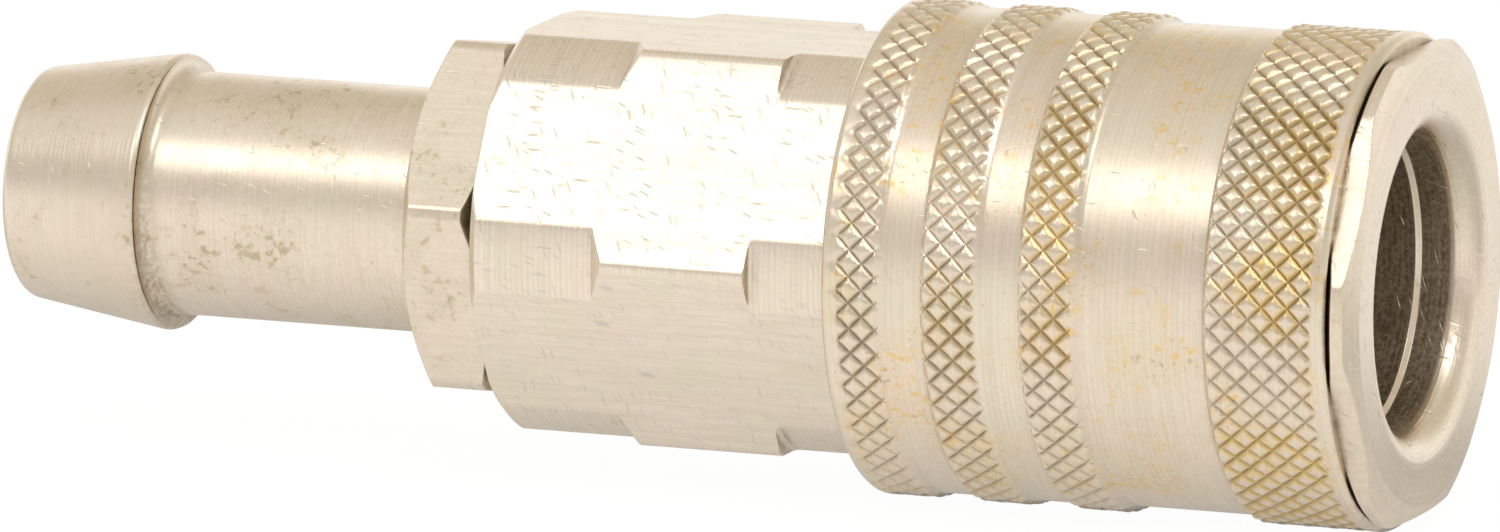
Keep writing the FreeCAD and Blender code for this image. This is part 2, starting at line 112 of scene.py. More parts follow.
floor_mesh = bpy.data.meshes.new("floor")
half = FLOOR_SIZE / 2
floor_mesh.from_pydata(
    [(-half, -half, FLOOR_HEIGHT), (half, -half, FLOOR_HEIGHT),
     (half, half, FLOOR_HEIGHT), (-half, half, FLOOR_HEIGHT)],
    [], [(0, 1, 2, 3)],
)
floor = bpy.data.objects.new("floor", floor_mesh)
bpy.context.collection.objects.link(floor)
card = bpy.data.materials.new("white_card")
card.use_nodes = True
card_tree = card.node_tree
card_tree.nodes.clear()
card_grain = add_node(card_tree, "ShaderNodeTexNoise", {"Scale": 60.0, "Detail": 4.0})
card_tone = add_node(card_tree, "ShaderNodeMapRange", {
    "Value": card_grain.outputs["Fac"], "To Min": 0.86, "To Max": 0.90})
card_matt = add_node(card_tree, "ShaderNodeBsdfDiffuse", {"Color": card_tone.outputs["Result"]})
card_place = add_node(card_tree, "ShaderNodeTexCoord")
card_split = add_node(card_tree, "ShaderNodeSeparateXYZ", {0: card_place.outputs["Object"]})
card_near = add_node(card_tree, "ShaderNodeMapRange", {
    "Value": card_split.outputs["Y"], "From Min": CARD_SHADOW_STARTS[0], "From Max": CARD_SHADOW_STARTS[1],
    "To Min": 0.0, "To Max": 1.0})
card_far = add_node(card_tree, "ShaderNodeMapRange", {
    "Value": card_split.outputs["Y"], "From Min": CARD_SHADOW_ENDS[0], "From Max": CARD_SHADOW_ENDS[1],
    "To Min": 1.0, "To Max": 0.0})
# painted shadow: what the coupler mirrors of the card is dimmed in a band just behind it
card_shadow_band = add_node(card_tree, "ShaderNodeMath", {
    0: card_near.outputs["Result"], 1: card_far.outputs["Result"]}, operation="MULTIPLY")
card_shadowed_glow = add_node(card_tree, "ShaderNodeMapRange", {
    "Value": card_shadow_band.outputs[0], "To Min": CARD_GLOW[0], "To Max": CARD_GLOW[1]})
card_glow = add_node(card_tree, "ShaderNodeEmission", {
    "Color": (1.0, 0.99, 0.97, 1.0), "Strength": card_shadowed_glow.outputs["Result"]})
card_lit = add_node(card_tree, "ShaderNodeMixShader", {
    0: CARD_GLOW_SHARE, 1: card_matt.outputs["BSDF"], 2: card_glow.outputs["Emission"]})
card_white = add_node(card_tree, "ShaderNodeEmission", {
    "Color": (1.0, 1.0, 1.0, 1.0), "Strength": CARD_WHITE})
card_seen = add_node(card_tree, "ShaderNodeMixShader", {
    0: CARD_WHITE_SHARE, 1: card_matt.outputs["BSDF"], 2: card_white.outputs["Emission"]})
card_ray = add_node(card_tree, "ShaderNodeLightPath")
card_mix = add_node(card_tree, "ShaderNodeMixShader", {
    0: card_ray.outputs["Is Camera Ray"], 1: card_lit.outputs["Shader"], 2: card_seen.outputs["Shader"]})
add_node(card_tree, "ShaderNodeOutputMaterial", {"Surface": card_mix.outputs["Shader"]})
floor_mesh.materials.append(card)

tent = bpy.data.worlds.new("tent")
bpy.context.scene.world = tent
tent.use_nodes = True
tent_tree = tent.node_tree
tent_tree.nodes.clear()
tent_way = add_node(tent_tree, "ShaderNodeTexCoord")
tent_split = add_node(tent_tree, "ShaderNodeSeparateXYZ", {0: tent_way.outputs["Generated"]})


def tent_wall(stops):
    """The tent's colour on one side, from the table up to the top."""
    wall = add_node(tent_tree, "ShaderNodeValToRGB", {"Fac": tent_split.outputs["Z"]})
    ramp = wall.color_ramp
    while len(ramp.elements) < len(stops):
        ramp.elements.new(0.5)
    for stop, (place, tone) in zip(ramp.elements, stops):
        stop.position = place
        stop.color = (*tone, 1.0)
    return wall.outputs["Color"]


tent_front = tent_wall([
    (0.00, (0.96, 0.94, 0.91)), (0.22, (0.72, 0.69, 0.65)), (0.50, (0.74, 0.71, 0.67)),
    (0.85, (0.96, 0.94, 0.90)), (1.00, (0.90, 0.87, 0.82)),
])
tent_back = tent_wall([
    (0.00, (1.00, 0.99, 0.97)), (0.16, (1.28, 1.27, 1.24)), (0.30, (1.10, 1.07, 1.00)),
    (0.48, (0.84, 0.78, 0.68)), (0.72, (0.72, 0.66, 0.56)), (1.00, (0.88, 0.84, 0.76)),
])
tent_side = add_node(tent_tree, "ShaderNodeMapRange", {
    "Value": tent_split.outputs["Y"], "From Min": -0.15, "From Max": 0.15})
tent_blend = add_node(tent_tree, "ShaderNodeMix", {
    "Factor": tent_side.outputs[0], "A": tent_front, "B": tent_back}, data_type="RGBA")
tent_light = add_node(tent_tree, "ShaderNodeBackground", {
    "Color": tent_blend.outputs["Result"], "Strength": 1.0})
add_node(tent_tree, "ShaderNodeOutputWorld", {"Surface": tent_light.outputs["Background"]})


def softbox(name, azimuth, elevation, wide, tall, watts, tone):
    """A rectangular area light that faces the coupler from a bearing; azimuth 0 is straight in front."""
    bearing, height = math.radians(azimuth), math.radians(elevation)
    level = math.cos(height)
    way = Vector((math.sin(bearing) * level, -math.cos(bearing) * level, math.sin(height)))
    light = bpy.data.lights.new(name, "AREA")
    light.shape = "RECTANGLE"
    light.size = wide
    light.size_y = tall
    light.energy = watts
    light.color = tone
    lamp = bpy.data.objects.new(name, light)
    bpy.context.collection.objects.link(lamp)
    lamp.location = camera_aim + way * SOFTBOX_DISTANCE
    lamp.rotation_mode = "QUATERNION"
    lamp.rotation_quaternion = (-way).to_track_quat("-Z", "Y")


softbox("key_softbox", -26.0, 42.0, 0.60, 0.44, 1.30, (1.0, 0.99, 0.975))
softbox("right_softbox", 48.0, 55.0, 0.50, 0.50, 1.9, (1.0, 0.99, 0.97))
bpy.context.scene.view_settings.view_transform = "Standard"


# ---- Socket body ----
# The front half of the coupler: a hexagonal nose, a plug bore with eight ball holes and a valve
# seat, turned from one steel bar, then nickel plated. The rear body screws on behind.
MM = 0.001
MOUTH_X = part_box("socket_body")[1].x
COLUMNS = 480                    # around a turned piece
CORNER_STEPS = 4                 # in a rounded corner, and more for a wide one
CORNER_STEPS_PER_MM = 6
CREASE = 32.0                    # degrees; sharper edges stay crisp
FEED_RATE = 2.3                  # turns of the lathe per millimetre of cut
REDDER = (1.02, 0.985, 1.0)      # how the plating's tone drifts over a piece
YELLOWER = (0.98, 0.995, 0.955)
SCRATCH_TONE = (0.47, 0.45, 0.42)
# brownish tones of the painted shade inside the bore and in the barb's fillet
PAINTED_SHADE_TONES = [(0.34, 0.27, 0.18), (0.66, 0.56, 0.43), (0.76, 0.68, 0.56)]


def at(depth):
    """X of a place that many millimetres behind the mouth face."""
    return MOUTH_X - depth * MM


def reach(node):
    """How many millimetres behind the mouth face a CAD piece starts and ends."""
    low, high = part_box(node)
    return round((MOUTH_X - high.x) / MM, 2), round((MOUTH_X - low.x) / MM, 2)


def rounded(corners):
    """A closed outline of (depth, radius) in millimetres, with each corner's edge rounded or left sharp."""
    points = []
    spots = [np.array(c[:2], float) for c in corners]
    for i, spot in enumerate(spots):
        radius = corners[i][2] if len(corners[i]) > 2 else 0.0
        before, after = spots[i - 1] - spot, spots[(i + 1) % len(spots)] - spot
        if radius <= 0:
            points.append(spot)
            continue
        before, after = before / np.linalg.norm(before), after / np.linalg.norm(after)
        half_angle = math.acos(np.clip(before @ after, -1, 1)) / 2
        reach = radius / math.tan(half_angle)
        middle = before + after
        centre = spot + middle / np.linalg.norm(middle) * radius / math.sin(half_angle)
        start, end = spot + before * reach - centre, spot + after * reach - centre
        sweep = math.pi - 2 * half_angle
        steps = CORNER_STEPS + int(CORNER_STEPS_PER_MM * radius)
        for k in range(steps + 1):
            share = k / steps
            part = math.sin((1 - share) * sweep), math.sin(share * sweep)
            points.append(centre + (start * part[0] + end * part[1]) / math.sin(sweep))
    return np.array(points)


def refined(points, spans, step):
    """The outline with its runs cut into short steps wherever they cross one of the depth spans."""
    result = []
    for i, point in enumerate(points):
        following = points[(i + 1) % len(points)]
        result.append(point)
        inside = any(min(point[0], following[0]) < high and max(point[0], following[0]) > low
                     for low, high in spans)
        length = np.linalg.norm(following - point)
        if inside and length > step:
            count = int(math.ceil(length / step))
            result += [point + (following - point) * k / count for k in range(1, count)]
    return np.array(result)


def flats_radius(angles, across, turn):
    """Distance from the axis to a hexagon's side, at angles measured from +Y towards +Z."""
    sector = np.mod(np.degrees(angles) - turn, 60.0) - 30.0
    return across / 2 / np.cos(np.radians(sector))


def build_mesh(name, vertices, faces, crease=CREASE):
    """A shaded mesh object from points in metres; edges sharper than the crease stay crisp."""
    mesh = bpy.data.meshes.new(name)
    mesh.from_pydata(vertices.tolist(), [], faces)
    mesh.validate()
    mesh.update()
    mesh.shade_smooth()
    mesh.set_sharp_from_angle(angle=math.radians(crease))
    piece = bpy.data.objects.new(name, mesh)
    bpy.context.collection.objects.link(piece)
    return piece


def ring_faces(rows, columns):
    """Quads over a grid that closes both ways, wound to face out of the metal."""
    row, column = np.meshgrid(np.arange(rows), np.arange(columns), indexing="ij")
    next_row, next_column = (row + 1) % rows, (column + 1) % columns
    quads = np.stack([
        row * columns + column, row * columns + next_column,
        next_row * columns + next_column, next_row * columns + column], -1)
    return quads.reshape(-1, 4)


def turned(name, outline, flats=(), edge=0.06, shade_mask=None):
    """A bored piece swept round the axis. Flats are (front, back, across, turn, least radius cut)."""
    angles = np.arange(COLUMNS) * 2 * math.pi / COLUMNS
    depth, radius = outline[:, :1], np.repeat(outline[:, 1:], COLUMNS, 1)
    on_flat = np.zeros_like(radius)
    for front, back, across, turn, smallest in flats:
        side = flats_radius(angles, across, turn)[None, :]
        near = np.clip(edge - np.abs(radius - side), 0, None) / edge
        cut = np.minimum(radius, side) - near ** 2 * edge / 4
        chosen = (depth >= front) & (depth <= back) & (outline[:, 1:] > smallest)
        on_flat = np.where(chosen & (radius > side + edge), 1.0, on_flat)
        radius = np.where(chosen, cut, radius)
    x = np.repeat(at(depth), COLUMNS, 1)
    y, z = radius * MM * np.cos(angles), radius * MM * np.sin(angles)
    vertices = np.stack([x, y, z], -1).reshape(-1, 3)
    piece = build_mesh(name, vertices, ring_faces(len(outline), COLUMNS).tolist())
    piece.data.attributes.new("flat", "FLOAT", "POINT").data.foreach_set("value", on_flat.ravel())
    if shade_mask is not None:
        shade_values = np.broadcast_to(shade_mask, on_flat.shape).ravel()
        piece.data.attributes.new("shade_mask", "FLOAT", "POINT").data.foreach_set("value", shade_values)
    return piece


def new_group(name, inputs, outputs):
    """An empty shader group with named sockets. Returns the tree and its two end nodes."""
    tree = bpy.data.node_groups.new(name, "ShaderNodeTree")
    for label, kind, value in inputs:
        socket = tree.interface.new_socket(label, in_out="INPUT", socket_type=kind)
        socket.default_value = value
    for label, kind in outputs:
        tree.interface.new_socket(label, in_out="OUTPUT", socket_type=kind)
    return tree, tree.nodes.new("NodeGroupInput"), tree.nodes.new("NodeGroupOutput")


def maths(tree, operation, first, second=0.0):
    """One step of arithmetic on two numbers, each given as it is or as a socket."""
    return add_node(tree, "ShaderNodeMath", {0: first, 1: second}, operation=operation).outputs[0]


def place_in_mm(tree):
    """The point on the object, in millimetres."""
    place = add_node(tree, "ShaderNodeTexCoord")
    return add_node(tree, "ShaderNodeVectorMath", {0: place.outputs["Object"], "Scale": 1000.0},
                    operation="SCALE").outputs[0]


def make_turning_marks():
    """Fine rings left by the tool: on a wall they follow depth, on a face they follow radius."""
    tree, start, end = new_group(
        "turning_marks", [("Lines per mm", "NodeSocketFloat", 3.0), ("Drift", "NodeSocketFloat", 1.5),
                          ("Feed", "NodeSocketFloat", 0.3)],
        [("Fine", "NodeSocketFloat"), ("Bands", "NodeSocketFloat")])
    split = add_node(tree, "ShaderNodeSeparateXYZ", {0: place_in_mm(tree)})
    flat = add_node(tree, "ShaderNodeCombineXYZ", {"Y": split.outputs["Y"], "Z": split.outputs["Z"]})
    radius = add_node(tree, "ShaderNodeVectorMath", {0: flat.outputs[0]}, operation="LENGTH").outputs["Value"]
    bearing = add_node(tree, "ShaderNodeVectorMath", {0: flat.outputs[0]}, operation="NORMALIZE").outputs[0]
    bearing = add_node(tree, "ShaderNodeSeparateXYZ", {0: bearing})
    along = maths(tree, "ADD", split.outputs["X"], maths(tree, "MULTIPLY", radius, 0.83))
    fine = add_node(tree, "ShaderNodeCombineXYZ", {
        "X": maths(tree, "MULTIPLY", along, start.outputs["Lines per mm"]),
        "Y": maths(tree, "MULTIPLY", bearing.outputs["Y"], start.outputs["Drift"]),
        "Z": maths(tree, "MULTIPLY", bearing.outputs["Z"], start.outputs["Drift"])})
    noise = add_node(tree, "ShaderNodeTexNoise", {"Vector": fine.outputs[0], "Scale": 1.0, "Detail": 3.0,
                                                  "Roughness": 0.65})
    sway = maths(tree, "MULTIPLY", noise.outputs["Fac"], 0.5)
    turns = maths(tree, "MULTIPLY", maths(tree, "ADD", along, sway), FEED_RATE * 2 * math.pi)
    wave = maths(tree, "SINE", turns)
    wave = maths(tree, "MULTIPLY", maths(tree, "MULTIPLY", wave, 0.30), start.outputs["Feed"])
    tree.links.new(maths(tree, "ADD", noise.outputs["Fac"], wave), end.inputs["Fine"])
    broad = add_node(tree, "ShaderNodeVectorMath", {0: fine.outputs[0], 1: (0.12, 1.0, 1.0)},
                     operation="MULTIPLY")
    bands = add_node(tree, "ShaderNodeTexNoise", {"Vector": broad.outputs[0], "Scale": 1.0, "Detail": 2.0})
    tree.links.new(bands.outputs["Fac"], end.inputs["Bands"])
    return tree


def make_drawn_marks():
    """Faint straight streaks along the bar, left by the die that it was drawn through."""
    tree, start, end = new_group(
        "drawn_marks", [("Lines per mm", "NodeSocketFloat", 3.0)],
        [("Fine", "NodeSocketFloat"), ("Bands", "NodeSocketFloat")])
    stretched = add_node(tree, "ShaderNodeVectorMath", {0: place_in_mm(tree), 1: (0.05, 1.0, 1.0)},
                         operation="MULTIPLY")
    for output, scale in (("Fine", 1.0), ("Bands", 0.15)):
        noise = add_node(tree, "ShaderNodeTexNoise", {
            "Vector": stretched.outputs[0], "Scale": maths(tree, "MULTIPLY", start.outputs[0], scale),
            "Detail": 3.0, "Roughness": 0.6})
        tree.links.new(noise.outputs["Fac"], end.inputs[output])
    return tree


def make_painted_occlusion():
    """Painted shade from ambient occlusion: darker in corners, grooves and narrow gaps, broken up by noise.
    """
    tree, start, end = new_group(
        "painted_occlusion", [("Reach", "NodeSocketFloat", 0.0012)], [("Occlusion shade", "NodeSocketFloat")])
    shade = tree.nodes.new("ShaderNodeAmbientOcclusion")
    shade.samples = 4
    tree.links.new(start.outputs["Reach"], shade.inputs["Distance"])
    ragged = add_node(tree, "ShaderNodeTexNoise", {"Vector": place_in_mm(tree), "Scale": 0.9, "Detail": 4.0})
    closed = maths(tree, "SUBTRACT", 1.0, shade.outputs["AO"])
    uneven = add_node(tree, "ShaderNodeMapRange", {
        "Value": ragged.outputs["Fac"], "From Min": 0.3, "From Max": 0.7, "To Min": 0.45, "To Max": 1.25})
    occlusion_amount = add_node(tree, "ShaderNodeMapRange", {
        "Value": maths(tree, "MULTIPLY", closed, uneven.outputs[0]), "From Min": 0.12, "From Max": 0.62})
    tree.links.new(occlusion_amount.outputs[0], end.inputs["Occlusion shade"])
    return tree


def make_scratches():
    """Short straight scratches in several directions, and a few dents as dots."""
    tree, start, end = new_group(
        "scratches", [("Amount", "NodeSocketFloat", 0.5), ("Spacing", "NodeSocketFloat", 1.0)],
        [("Lines", "NodeSocketFloat"), ("Dots", "NodeSocketFloat")])
    place = place_in_mm(tree)
    turns = [(0.3, 0.2, 0.9), (1.1, -0.4, 2.0), (0.6, 0.9, -0.5), (-0.8, 0.3, 0.25), (0.2, 1.3, 0.6)]
    lines = None
    for k, turn in enumerate(turns):
        turned_place = add_node(tree, "ShaderNodeMapping", {
            "Vector": place, "Location": (3.1 * k, 1.7 * k, 5.3 * k), "Rotation": turn,
            "Scale": (5.5, 3.2, 0.36 + 0.05 * k)}, vector_type="TEXTURE")
        spaced = add_node(tree, "ShaderNodeVectorMath", {
            0: turned_place.outputs[0], "Scale": start.outputs["Spacing"]}, operation="SCALE")
        cells = add_node(tree, "ShaderNodeTexVoronoi", {"Vector": spaced.outputs[0], "Scale": 1.0})
        limit = maths(tree, "MULTIPLY", start.outputs["Amount"], 0.32)
        line = add_node(tree, "ShaderNodeMapRange", {
            "Value": cells.outputs["Distance"], "From Min": limit,
            "From Max": maths(tree, "MULTIPLY", limit, 0.35), "To Min": 0.0, "To Max": 1.0})
        strength = add_node(tree, "ShaderNodeSeparateColor", {0: cells.outputs["Color"]}).outputs[k % 3]
        line = maths(tree, "MULTIPLY", line.outputs[0], strength)
        lines = line if lines is None else maths(tree, "MAXIMUM", lines, line)
    tree.links.new(lines, end.inputs["Lines"])
    spots = add_node(tree, "ShaderNodeTexVoronoi", {"Vector": place, "Scale": 1.6})
    rare = add_node(tree, "ShaderNodeSeparateColor", {0: spots.outputs["Color"]})
    size = maths(tree, "MULTIPLY", maths(tree, "MULTIPLY", rare.outputs[0], rare.outputs[1]), 0.22)
    dots = add_node(tree, "ShaderNodeMapRange", {
        "Value": maths(tree, "SUBTRACT", size, spots.outputs["Distance"]), "From Min": 0.0, "From Max": 0.06})
    patch = add_node(tree, "ShaderNodeTexNoise", {"Vector": place, "Scale": 0.35, "Detail": 3.0})
    where = add_node(tree, "ShaderNodeMapRange", {"Value": patch.outputs["Fac"], "From Min": 0.52,
                                                  "From Max": 0.66})
    tree.links.new(maths(tree, "MULTIPLY", dots.outputs[0], where.outputs[0]), end.inputs["Dots"])
    return tree


def make_tarnish():
    """Cloudy yellow-brown bloom, with a scatter of small stains inside it."""
    tree, start, end = new_group(
        "tarnish", [("Cloud size", "NodeSocketFloat", 6.0), ("Cover", "NodeSocketFloat", 0.5)],
        [("Bloom", "NodeSocketFloat"), ("Specks", "NodeSocketFloat"), ("Mottle", "NodeSocketFloat"),
         ("Drift", "NodeSocketFloat"), ("Pits", "NodeSocketFloat")])
    place = place_in_mm(tree)
    cloud = add_node(tree, "ShaderNodeTexNoise", {
        "Vector": place, "Scale": maths(tree, "DIVIDE", 1.0, start.outputs["Cloud size"]), "Detail": 5.0,
        "Roughness": 0.6})
    low = maths(tree, "SUBTRACT", 0.75, maths(tree, "MULTIPLY", start.outputs["Cover"], 0.4))
    bloom = add_node(tree, "ShaderNodeMapRange", {
        "Value": cloud.outputs["Fac"], "From Min": low, "From Max": maths(tree, "ADD", low, 0.22)},
        interpolation_type="SMOOTHSTEP")
    tree.links.new(bloom.outputs[0], end.inputs["Bloom"])
    grain = add_node(tree, "ShaderNodeTexNoise", {
        "Vector": place, "Scale": 2.4, "Detail": 4.0, "Roughness": 0.7})
    stains = add_node(tree, "ShaderNodeTexNoise", {"Vector": place, "Scale": 1.3, "Detail": 3.0})
    specks = add_node(tree, "ShaderNodeMapRange", {"Value": stains.outputs["Fac"], "From Min": 0.57,
                                                   "From Max": 0.64})
    tree.links.new(specks.outputs[0], end.inputs["Specks"])
    tree.links.new(grain.outputs["Fac"], end.inputs["Mottle"])
    drift = add_node(tree, "ShaderNodeTexNoise", {"Vector": place, "Scale": 0.13, "Detail": 3.0})
    tree.links.new(drift.outputs["Fac"], end.inputs["Drift"])
    pocks = add_node(tree, "ShaderNodeTexNoise", {"Vector": place, "Scale": 2.7, "Detail": 2.0})
    pits = add_node(tree, "ShaderNodeMapRange", {"Value": pocks.outputs["Fac"], "From Min": 0.63,
                                                 "From Max": 0.69})
    tree.links.new(maths(tree, "MULTIPLY", pits.outputs[0], bloom.outputs[0]), end.inputs["Pits"])
    return tree


turning_marks = make_turning_marks()
drawn_marks = make_drawn_marks()
painted_occlusion = make_painted_occlusion()
scratches = make_scratches()
tarnish = make_tarnish()


def add_group(tree, group, values):
    """One of the groups above, placed in a material with its own values."""
    return add_node(tree, "ShaderNodeGroup", values, node_tree=group)


def tint(tree, amount, first, second):
    """First colour turning to second as the amount goes from 0 to 1. Either may be a colour or a socket."""
    first, second = ((*tone, 1.0) if isinstance(tone, tuple) else tone for tone in (first, second))
    return add_node(tree, "ShaderNodeMix", {"Factor": amount, "A": first, "B": second},
                    data_type="RGBA").outputs["Result"]


def darker(tone, share):
    """A tone taken down to that share of itself."""
    return tuple(share * part for part in tone)


def scale_to(tree, value, low, high, start=0.0, stop=1.0):
    """Low to high as the value goes from start to stop."""
    return add_node(tree, "ShaderNodeMapRange", {
        "Value": value, "From Min": start, "From Max": stop, "To Min": low, "To Max": high}).outputs[0]


def tarnish_and_shade_knurl(tree, colour, roughness, shade, groove_tone):
    """Tarnish down the cuts of a knurl, in patches that grow towards the mouth, and painted shade darkening
    the bottom of each cut.
    """
    depth = add_node(tree, "ShaderNodeAttribute", attribute_name="cut").outputs["Fac"]
    patch = add_node(tree, "ShaderNodeTexNoise", {"Vector": place_in_mm(tree), "Scale": 0.10, "Detail": 4.0})
    strength = scale_to(tree, patch.outputs["Fac"], 0.12, 1.0, 0.42, 0.58)
    forward = add_node(tree, "ShaderNodeSeparateXYZ", {0: place_in_mm(tree)}).outputs["X"]
    strength = maths(tree, "MULTIPLY", strength, scale_to(tree, forward, 0.25, 1.0, -30.0, -12.0))
    sides = scale_to(tree, depth, 0.0, 1.0, 0.06, 0.60)
    colour = tint(tree, maths(tree, "MULTIPLY", sides, strength), colour, groove_tone)
    # painted shade: the deepest part of each cut is darkened
    colour = tint(tree, scale_to(tree, depth, 0.0, 0.55, 0.55, 1.0), colour, darker(shade, 0.5))
    return colour, maths(tree, "ADD", roughness, maths(tree, "MULTIPLY", depth, 0.06))


def metal(name, tone, shade, stain, fine=3.2, mark_depth=0.55, rough=(0.26, 0.34), feed=0.3,
          scratch=0.5, spacing=1.0, cover=0.4, cloud=7.0, grain=0.35, groove_tone=None, bump=0.4):
    """A worn machined metal: shade follows the tool marks, stain the tarnish, and scratches cut both; painted
    shade darkens its corners, grooves and masked places.
    """
    material = bpy.data.materials.new(name)
    material.use_nodes = True
    tree = material.node_tree
    tree.nodes.clear()
    lathe = add_group(tree, turning_marks, {"Lines per mm": fine, "Feed": feed})
    bar = add_group(tree, drawn_marks, {"Lines per mm": 3.0})
    scores = add_group(tree, scratches, {"Amount": scratch, "Spacing": spacing})
    age = add_group(tree, tarnish, {"Cover": cover, "Cloud size": cloud})
    occlusion_shade = add_group(tree, painted_occlusion, {}).outputs["Occlusion shade"]
    on_flat = add_node(tree, "ShaderNodeAttribute", attribute_name="flat").outputs["Fac"]
    marks, bands = (add_node(tree, "ShaderNodeMix", {
        "Factor": on_flat, "A": lathe.outputs[key], "B": bar.outputs[key]}).outputs["Result"]
        for key in ("Fine", "Bands"))
    colour = tint(tree, scale_to(tree, age.outputs["Drift"], 0.0, 1.0, 0.36, 0.64),
                  tuple(part * share for part, share in zip(tone, REDDER)),
                  tuple(part * share for part, share in zip(tone, YELLOWER)))
    colour = tint(tree, scale_to(tree, marks, 0.0, mark_depth, 0.32, 0.68), colour, shade)
    colour = tint(tree, scale_to(tree, age.outputs["Mottle"], 0.0, grain, 0.38, 0.66), colour, shade)
    speckle = maths(tree, "MULTIPLY", age.outputs["Specks"], age.outputs["Bloom"])
    colour = tint(tree, scale_to(tree, age.outputs["Bloom"], 0.0, 0.16), colour, stain)
    colour = tint(tree, maths(tree, "MULTIPLY", speckle, 0.85), colour, stain)
    colour = tint(tree, maths(tree, "MULTIPLY", age.outputs["Pits"], 0.4), colour, darker(shade, 0.4))
    roughness = scale_to(tree, bands, rough[0], rough[1], 0.3, 0.7)
    if groove_tone:
        colour, roughness = tarnish_and_shade_knurl(tree, colour, roughness, shade, groove_tone)
    # painted shade where a piece carries the shade mask: inside the bore and in the barb's fillet
    shade_mask = add_node(tree, "ShaderNodeAttribute", attribute_name="shade_mask").outputs["Fac"]
    painted_shade_tone = tint(tree, scale_to(tree, marks, 0.0, 0.6, 0.35, 0.65), PAINTED_SHADE_TONES[0], PAINTED_SHADE_TONES[1])
    mottle = scale_to(tree, age.outputs["Mottle"], 0.0, 0.8, 0.45, 0.62)
    painted_shade_tone = tint(tree, mottle, painted_shade_tone, PAINTED_SHADE_TONES[2])
    uneven = scale_to(tree, age.outputs["Mottle"], 0.55, 1.0, 0.62, 0.40)
    colour = tint(tree, maths(tree, "MULTIPLY", shade_mask, uneven), colour, painted_shade_tone)
    roughness = maths(tree, "ADD", roughness, maths(tree, "MULTIPLY", shade_mask, 0.10))
    # painted shade: corners, grooves and gaps darkened by ambient occlusion
    colour = tint(tree, maths(tree, "MULTIPLY", occlusion_shade, 0.8), colour, darker(shade, 0.30))
    colour = tint(tree, maths(tree, "MULTIPLY", scores.outputs["Lines"], 0.5), colour, SCRATCH_TONE)
    colour = tint(tree, maths(tree, "MULTIPLY", scores.outputs["Dots"], 0.6), colour, darker(shade, 0.45))
    height = maths(tree, "ADD", marks, maths(tree, "MULTIPLY", scores.outputs["Lines"], -1.6))
    height = maths(tree, "ADD", height, maths(tree, "MULTIPLY", age.outputs["Mottle"], 0.6))
    height = maths(tree, "ADD", height, maths(tree, "MULTIPLY", scores.outputs["Dots"], -1.0))
    height = maths(tree, "ADD", height, maths(tree, "MULTIPLY", age.outputs["Pits"], -0.8))
    relief = add_node(tree, "ShaderNodeBump", {"Height": height, "Strength": bump, "Distance": 0.00003})
    shader = add_node(tree, "ShaderNodeBsdfPrincipled", {
        "Base Color": colour, "Roughness": roughness, "Normal": relief.outputs["Normal"], "Metallic": 1.0})
    add_node(tree, "ShaderNodeOutputMaterial", {"Surface": shader.outputs["BSDF"]})
    return material


NICKEL = (0.80, 0.715, 0.60)
NICKEL_SHADE = (0.68, 0.59, 0.47)
NICKEL_STAIN = (0.62, 0.47, 0.25)
nickel_turned = metal("nickel_turned", NICKEL, NICKEL_SHADE, NICKEL_STAIN, grain=0.75, bump=0.6)

SOCKET_BACK = reach("socket_body")[1]
NOSE_R = 18.5
NOSE_BACK = 3.5
NOSE_ACROSS = 34.5               # between the nose's flats
INSIDE_R = 13.0                  # what is nearer the axis belongs to the bore
MOUTH_R = 11.25
BORE_R = 10.9                    # the plug runs in this
STEP_DEPTH = 4.68                # the bright step between mouth and bore
STEP_CLEAN = 0.26                # how far to each side of it the painted shade is kept off
BORE_SHADE_FRONT = 1.9                 # painted shade in the bore starts here
BORE_SHADE_FADE = 0.6
TAIL_R = 11.1                    # round the plug's tail, at the balls
SEAL_R = 12.9
SEAT_R = 8.4                     # the valve shuts on this
CHAMBER_R = 10.2
GUIDE_R = 10.6                   # the valve's guide sits in this
CLIP_R = 11.7
BARREL_R = 14.4
THREAD_FRONT = reach("rear_body")[0]
THREAD_R = 13.5
nose_corners = [
    (0, MOUTH_R, 2.4), (0, 16.5, 0.35), (0.73, NOSE_R, 0.2), (1.6, NOSE_R, 0.2), (3.22, 15.7, 0.1),
    (NOSE_BACK, 15.7), (NOSE_BACK, BARREL_R, 0.1), (THREAD_FRONT, BARREL_R, 0.15),
    (THREAD_FRONT, THREAD_R, 0.1), (SOCKET_BACK, THREAD_R, 0.3), (SOCKET_BACK, GUIDE_R),
    (45.02, GUIDE_R), (45.02, CLIP_R), (44.0, CLIP_R), (44.0, GUIDE_R), (41.0, GUIDE_R),
    (41.0, CHAMBER_R), (24.0, CHAMBER_R), (24.0, SEAT_R, 0.15), (22.0, SEAT_R, 0.15), (22.0, BORE_R),
    (20.6, BORE_R, 0.1), (20.6, SEAL_R), (17.6, SEAL_R), (17.6, TAIL_R, 0.1), (11.15, TAIL_R),
    (11.15, BORE_R, 0.08), (4.85, BORE_R, 0.1), (4.5, MOUTH_R, 0.1),
]
nose_outline = refined(rounded(nose_corners), [(-0.5, 3.4), (4.3, 5.0)], step=0.12)
bore_depth, bore_radius = nose_outline.T
# painted shade inside the bore, growing in from the mouth and kept off the bright step
bore_shade = np.clip((bore_depth - BORE_SHADE_FRONT) / BORE_SHADE_FADE, 0, 1) * (bore_radius < INSIDE_R)
bore_shade *= np.clip(np.abs(bore_depth - STEP_DEPTH) / STEP_CLEAN, 0.15, 1) ** 4
nose_flats = (-1, 3.3, NOSE_ACROSS, 0.0, INSIDE_R)
socket = turned("socket_body_turned", nose_outline, [nose_flats], edge=0.09, shade_mask=bore_shade[:, None])

BALLS = 8
BALL_DEPTH = sum(reach("lock_ball_1")) / 2
HOLE_SIDES = 32
hole_profile = [(2.21, 8.0), (2.21, 11.1), (2.45, 11.8), (2.45, 16.0)]    # radius, height over the axis


